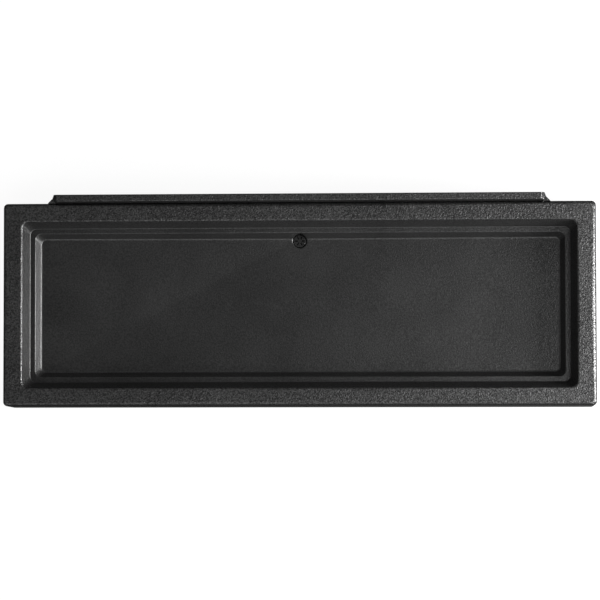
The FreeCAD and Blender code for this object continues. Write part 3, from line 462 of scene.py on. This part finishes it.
def sump_tool():
    """The space of the sump and the drain hole, with a lip that follows the floor and the wall."""
    rings = [
        circle(DRAIN, DRAIN_HOLE, SUMP_BOTTOM - 2 * SHEET),
        circle(DRAIN, DRAIN_HOLE, SUMP_BOTTOM),
    ]
    for step in range(FILLET_STEPS + 1):
        turn = math.pi / 2 * step / FILLET_STEPS
        radius = SUMP_RADIUS - SUMP_FILLET * (1 - math.sin(turn))
        rings.append(circle(DRAIN, radius, SUMP_BOTTOM + SUMP_FILLET * (1 - math.cos(turn))))
    for step in range(LIP_STEPS + 1):
        turn = math.pi / 2 * step / LIP_STEPS
        ring = circle(DRAIN, SUMP_RADIUS + SUMP_LIP * (1 - math.cos(turn)), 0)
        for place in ring:
            place[2] = well_height(place[0], place[1]) - SUMP_LIP * (1 - math.sin(turn))
        rings.append(ring)
    past = SUMP_RADIUS + SUMP_LIP * (1 + SUMP_OVERCUT)
    over = circle(DRAIN, past, 0)
    for place in over:
        place[2] = well_height(place[0], place[1]) + SUMP_OVERCUT * SUMP_LIP
    rings.append(over)
    rings.append(circle(DRAIN, past, FACE))
    return ring_solid("sump_tool", rings)


def sump_boss():
    """The boss round the sump, under the floor."""
    radius = SUMP_RADIUS + SHEET
    foot = SUMP_BOTTOM - SHEET
    rings = []
    for step in range(FILLET_STEPS + 1):
        turn = math.pi / 2 * step / FILLET_STEPS
        inset = BOSS_ROUNDING * (1 - math.sin(turn))
        rings.append(circle(DRAIN, radius - inset, foot + BOSS_ROUNDING * (1 - math.cos(turn))))
    rings.append(circle(DRAIN, radius, FLOOR_LOW - SHEET / 4))
    return ring_solid("sump_boss", rings)


def rear_prism(name, outline, front, rear):
    """A solid along y from an outline of x and z pairs."""
    near = np.array([(x, front, z) for x, z in outline])
    far = np.array([(x, rear, z) for x, z in outline])
    return ring_solid(name, [far, near])


def round_hole(x, z, radius):
    """A circle of x and z pairs."""
    turns = np.linspace(0, 2 * math.pi, HOLE_STEPS, endpoint=False)
    return [(x + radius * math.cos(turn), z + radius * math.sin(turn)) for turn in turns]


def notch_outline():
    """The arch that lets the hose out under the rear skirt."""
    arch = [math.pi * step / NOTCH_STEPS for step in range(NOTCH_STEPS + 1)]
    over = [(NOTCH_RADIUS * math.cos(t), NOTCH_CENTRE + NOTCH_RADIUS * math.sin(t)) for t in arch]
    return [(NOTCH_RADIUS, 0.0)] + over + [(-NOTCH_RADIUS, 0.0)]


def band(half, low, high):
    """A rectangle of x and z pairs about the middle of the tray."""
    return [(half, low), (half, high), (-half, high), (-half, low)]


def make_tray():
    """The moulding with its sump, its seat for the rail, the hose notch and the rear holes."""
    tray = shell_mesh()
    carve(tray, sump_boss(), "UNION")
    backing = band(SEAT_HALF + SHEET, SEAT_BOTTOM - SHEET, SEAT_BACKING_TOP)
    carve(tray, rear_prism("seat_backing", backing, SEAT - SHEET, SEAT), "UNION")
    carve(tray, sump_tool())
    rear = SHELL_HIGH[1]
    seat = band(SEAT_HALF, SEAT_BOTTOM, FACE + SHEET)
    carve(tray, rear_prism("rail_seat", seat, SEAT, rear + SHEET))
    tools = [notch_outline()]
    tools += [round_hole(x, FIXING_HEIGHT, SCREW_HOLE) for x in SCREW_X]
    tools += [round_hole(x, FIXING_HEIGHT, FIXING_HOLE) for x in FIXING_X]
    for outline in tools:
        carve(tray, rear_prism("rear_tool", outline, rear - 3 * SHEET, rear + SHEET))
    smooth(tray)
    return tray


# ---------------------------------------------------------------- materials

class Tree:
    """Short names for building a node tree."""

    def __init__(self, tree):
        self.tree = tree

    def add(self, kind, **settings):
        node = self.tree.nodes.new(f"ShaderNode{kind}")
        for key, value in settings.items():
            setattr(node, key, value)
        return node

    def link(self, source, target):
        self.tree.links.new(source, target)

    def value(self, number):
        node = self.add("Value")
        node.outputs[0].default_value = number
        return node.outputs[0]

    def spread(self, source, low, high, to_low, to_high):
        """Maps a value from one range to another, held inside it."""
        node = self.add("MapRange")
        self.link(source, node.inputs["Value"])
        ends = {"From Min": low, "From Max": high, "To Min": to_low, "To Max": to_high}
        for key, value in ends.items():
            node.inputs[key].default_value = value
        return node.outputs["Result"]

    def maths(self, operation, first, second):
        node = self.add("Math", operation=operation)
        for slot, value in zip(node.inputs, (first, second)):
            if isinstance(value, (int, float)):
                slot.default_value = value
            else:
                self.link(value, slot)
        return node.outputs["Value"]

    def mixed(self, share, first, second):
        """The first shader where the share is 0 and the second where it is 1."""
        mix = self.add("MixShader")
        for slot, source in zip(mix.inputs, (share, first, second)):
            self.link(source, slot)
        return mix.outputs["Shader"]


class Finish(Tree):
    """One material's node tree, with textures placed by the object's own coordinates."""

    def __init__(self, name):
        self.material = bpy.data.materials.new(name)
        self.material.use_nodes = True
        super().__init__(self.material.node_tree)
        self.shader = self.tree.nodes["Principled BSDF"]
        self.place = self.add("TexCoord").outputs["Object"]

    def noise(self, scale, detail=2.0, roughness=0.5):
        node = self.add("TexNoise")
        self.link(self.place, node.inputs["Vector"])
        node.inputs["Scale"].default_value = scale
        node.inputs["Detail"].default_value = detail
        node.inputs["Roughness"].default_value = roughness
        return node.outputs["Fac"]

    def cells(self, scale):
        node = self.add("TexVoronoi", feature="SMOOTH_F1")
        self.link(self.place, node.inputs["Vector"])
        node.inputs["Scale"].default_value = scale
        return node.outputs["Distance"]

    def tint(self, share, dark, pale):
        """A colour between two, by a share."""
        node = self.add("Mix", data_type="RGBA")
        self.link(share, node.inputs["Factor"])
        node.inputs["A"].default_value = (*dark, 1)
        node.inputs["B"].default_value = (*pale, 1)
        return node.outputs["Result"]

    def bump(self, height, distance):
        node = self.add("Bump")
        self.link(height, node.inputs["Height"])
        node.inputs["Distance"].default_value = distance * MM
        return node.outputs["Normal"]

    def finish(self, colour, roughness, normal, metallic=0.0):
        self.link(colour, self.shader.inputs["Base Color"])
        self.link(roughness, self.shader.inputs["Roughness"])
        self.link(normal, self.shader.inputs["Normal"])
        self.shader.inputs["Metallic"].default_value = metallic
        return self.material


def grey(value):
    """A neutral colour."""
    return (value, value, value)


def grained_abs():
    """Black moulded plastic with a fine haircell grain, a little polished along its edges."""
    nodes = Finish("grained_abs")
    wear = nodes.add("Attribute", attribute_name="wear").outputs["Fac"]
    pebbles = nodes.cells(GRAIN_PEBBLES)
    wrinkles = nodes.noise(GRAIN_WRINKLES, 3.0, 0.6)
    patches = nodes.noise(GRAIN_PATCHES, 2.0)
    cloud = nodes.noise(GRAIN_CLOUD, 3.0)
    height = nodes.add("SeparateXYZ")
    nodes.link(nodes.place, height.inputs[0])
    strength = nodes.spread(height.outputs["Z"], LEDGE * MM, FACE * MM, FLOOR_GRAIN, 1.0)
    relief = nodes.maths("MULTIPLY", nodes.maths("ADD", pebbles, wrinkles), strength)
    grain = nodes.bump(relief, GRAIN_DEPTH)
    mottle = nodes.spread(wrinkles, *WRINKLE_RANGE, 0.0, MOTTLE_SHARE)
    tone = nodes.maths("ADD", mottle, nodes.spread(cloud, *NOISE_RANGE, 0.0, CLOUD_SHARE))
    colour = nodes.tint(tone, grey(GRAIN_DARK), grey(GRAIN_PALE))
    dull = nodes.spread(cloud, *NOISE_RANGE, *GRAIN_DULL)
    rough = nodes.maths("SUBTRACT", dull, nodes.maths("MULTIPLY", wear, EDGE_POLISH))
    swing = nodes.spread(patches, *PATCH_RANGE, -GRAIN_SHEEN, GRAIN_SHEEN)
    sheen = nodes.maths("ADD", nodes.maths("MULTIPLY", swing, strength), 0.5)
    nodes.link(sheen, nodes.shader.inputs["Specular IOR Level"])
    return nodes.finish(colour, rough, grain)


def moulded(name, dark, pale, low, high, scale, depth):
    """A moulded part of one colour: small unevenness in tone, gloss and surface."""
    nodes = Finish(name)
    speck = nodes.noise(scale, 3.0)
    cloud = nodes.noise(MOULDED_CLOUD, 2.0)
    colour = nodes.tint(cloud, dark, pale)
    rough = nodes.spread(speck, *NOISE_RANGE, low, high)
    return nodes.finish(colour, rough, nodes.bump(speck, depth))


def plated(name, dark, pale, low, high):
    """Metal with a brushed unevenness."""
    nodes = Finish(name)
    speck = nodes.noise(PLATED_SPECKS, 4.0)
    cloud = nodes.noise(PLATED_CLOUD, 3.0)
    colour = nodes.tint(cloud, dark, pale)
    rough = nodes.spread(speck, *NOISE_RANGE, low, high)
    return nodes.finish(colour, rough, nodes.bump(speck, PLATED_DEPTH), metallic=1.0)


def make_materials():
    """Every material by its name: tones from dark to pale, and roughness from low to high."""
    return {
        "grained_abs": grained_abs(),
        "black_steel": plated("black_steel", grey(0.03), grey(0.07), 0.35, 0.5),
        "zinc_steel": plated("zinc_steel", (0.55, 0.56, 0.58), (0.72, 0.72, 0.70), 0.25, 0.42),
        "black_rubber": moulded("black_rubber", grey(0.012), grey(0.022), 0.6, 0.8, 1500.0, 0.03),
        "black_polypropylene": moulded(
            "black_polypropylene", grey(0.007), grey(0.014), 0.20, 0.32, 900.0, 0.02
        ),
        "white_nylon": moulded(
            "white_nylon", (0.62, 0.61, 0.57), (0.74, 0.73, 0.69), 0.35, 0.5, 900.0, 0.02
        ),
        "stainless_spring": plated("stainless_spring", (0.5, 0.5, 0.51), (0.66, 0.66, 0.65), 0.2, 0.35),
    }


def dress(obj, material):
    """Gives an object one material."""
    obj.data.materials.clear()
    obj.data.materials.append(material)


# ---------------------------------------------------------------- stage

def flat_emission(nodes, level):
    """A surface that gives out white light of one level."""
    shader = nodes.add("Emission")
    shader.inputs["Color"].default_value = (1, 1, 1, 1)
    shader.inputs["Strength"].default_value = level
    return shader.outputs["Emission"]


def under_tray(nodes):
    """1 where the floor lies under the tray, so that the glow from below reaches its underside."""
    across = nodes.add("SeparateXYZ")
    nodes.link(nodes.place, across.inputs[0])
    half_x = SHELL_HIGH[0] * MM
    half_y = (SHELL_HIGH[1] - SHELL_LOW[1]) / 2 * MM
    middle = (SHELL_HIGH[1] + SHELL_LOW[1]) / 2 * MM
    beside = nodes.maths("ABSOLUTE", across.outputs["X"], 0.0)
    along = nodes.maths("ABSOLUTE", nodes.maths("SUBTRACT", across.outputs["Y"], middle), 0.0)
    inside_x = nodes.maths("LESS_THAN", beside, half_x)
    inside_y = nodes.maths("LESS_THAN", along, half_y)
    return nodes.maths("MULTIPLY", inside_x, inside_y)


def make_floor():
    """A floor that is pale for the camera. For other rays it is dim, and clear under the tray.

    It is clear for every ray that meets it from below.
    """
    reach = FLOOR_REACH
    corners = [(-reach, -reach, 0), (reach, -reach, 0), (reach, reach, 0), (-reach, reach, 0)]
    mesh = bpy.data.meshes.new("floor")
    mesh.from_pydata(corners, [], [(0, 1, 2, 3)])
    floor = bpy.data.objects.new("floor", mesh)
    bpy.context.scene.collection.objects.link(floor)
    nodes = Finish("pale_floor")
    nodes.shader.inputs["Base Color"].default_value = (*grey(FLOOR_TONE), 1)
    nodes.shader.inputs["Roughness"].default_value = FLOOR_ROUGHNESS
    lit = nodes.shader.outputs["BSDF"]
    seen = nodes.mixed(nodes.value(FLOOR_GLOW_SHARE), lit, flat_emission(nodes, FLOOR_GLOW))
    clear = nodes.add("BsdfTransparent").outputs["BSDF"]
    dim = nodes.add("BsdfDiffuse")
    dim.inputs["Color"].default_value = (*grey(FLOOR_DIM), 1)
    unseen = nodes.mixed(under_tray(nodes), dim.outputs["BSDF"], clear)
    path = nodes.add("LightPath")
    upper = nodes.mixed(path.outputs["Is Camera Ray"], unseen, seen)
    side = nodes.add("NewGeometry").outputs["Backfacing"]
    surface = nodes.mixed(side, upper, clear)
    nodes.link(surface, nodes.tree.nodes["Material Output"].inputs["Surface"])
    dress(floor, nodes.material)


def make_light(name, place, target, size, power):
    """A square soft light that faces a target."""
    lamp = bpy.data.lights.new(name, "AREA")
    lamp.shape = "RECTANGLE"
    lamp.size, lamp.size_y = size
    lamp.energy = power
    obj = bpy.data.objects.new(name, lamp)
    obj.location = place
    obj.rotation_mode = "QUATERNION"
    obj.rotation_quaternion = (Vector(target) - Vector(place)).to_track_quat("-Z", "Y")
    bpy.context.scene.collection.objects.link(obj)


def make_world():
    """A plain pale backdrop for the camera. For light, a band that is bright in front, and a glow below."""
    world = bpy.data.worlds.new("studio")
    world.use_nodes = True
    nodes = Tree(world.node_tree)
    background = nodes.tree.nodes["Background"]
    background.inputs["Color"].default_value = (1, 1, 1, 1)
    direction = nodes.add("SeparateXYZ")
    nodes.link(nodes.add("TexCoord").outputs["Generated"], direction.inputs[0])
    rise = nodes.spread(direction.outputs["Z"], *BAND_FOOT, 0.0, 1.0)
    fade = nodes.spread(direction.outputs["Z"], *BAND_FADE, 1.0, ZENITH_LEVEL)
    around = nodes.spread(direction.outputs["Y"], *FRONT_SPREAD, FRONT_LEVEL, REAR_LEVEL)
    around_glow = nodes.maths("MULTIPLY", nodes.maths("MULTIPLY", rise, fade), around)
    below = nodes.spread(direction.outputs["Z"], *BELOW_SPREAD, BELOW_LEVEL, GROUND_LEVEL)
    path = nodes.add("LightPath")
    seen = nodes.add("Mix", data_type="FLOAT")
    nodes.link(path.outputs["Is Camera Ray"], seen.inputs["Factor"])
    nodes.link(nodes.maths("MAXIMUM", around_glow, below), seen.inputs["A"])
    seen.inputs["B"].default_value = 1.0
    nodes.link(seen.outputs["Result"], background.inputs["Strength"])
    bpy.context.scene.world = world


def make_camera():
    """A long lens nearly straight above the tray, a little to its right and front."""
    aim = Vector((CAMERA_AIM[0], SHELL_LOW[1] + CAMERA_AIM[1], FACE)) * MM
    lean_right, lean_front = (math.tan(math.radians(angle)) for angle in CAMERA_LEAN)
    back = Vector((lean_right, -lean_front, 1)).normalized()
    right = Vector((0, 1, 0)).cross(back).normalized()
    up = back.cross(right)
    turn = math.radians(CAMERA_ROLL)
    across = math.cos(turn) * right + math.sin(turn) * up
    above = math.cos(turn) * up - math.sin(turn) * right
    data = bpy.data.cameras.new("camera")
    data.sensor_width = CAMERA_SENSOR
    data.lens = CAMERA_LENS
    camera = bpy.data.objects.new("camera", data)
    place = Matrix((across, above, back)).transposed().to_4x4()
    place.translation = aim + back * CAMERA_DISTANCE
    camera.matrix_world = place
    bpy.context.scene.collection.objects.link(camera)
    bpy.context.scene.camera = camera


# ---------------------------------------------------------------- build

MATERIALS = make_materials()
tray = make_tray()
dress(tray, MATERIALS["grained_abs"])
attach(tray, "tray")
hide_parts("tray_shell")

NODE_MATERIALS = {
    "splash_rail": "grained_abs",
    "rail_screws": "black_steel",
    "rail_nuts": "zinc_steel",
    "edge_feet": "black_rubber",
    "drain_spigot": "black_polypropylene",
    "spigot_gasket": "black_rubber",
    "nut_washer": "white_nylon",
    "lock_nut": "black_polypropylene",
    "elbow_o_ring": "black_rubber",
    "drain_elbow": "black_polypropylene",
    "retaining_clip": "stainless_spring",
    "strainer": "black_polypropylene",
}
for node, finish in NODE_MATERIALS.items():
    dress(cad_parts[node], MATERIALS[finish])

make_floor()
make_light("key", KEY_PLACE, LIGHT_AIM, KEY_SIZE, KEY_POWER)
make_light("fill", FILL_PLACE, LIGHT_AIM, FILL_SIZE, FILL_POWER)
make_world()
make_camera()
bpy.context.scene.view_settings.view_transform = "Standard"
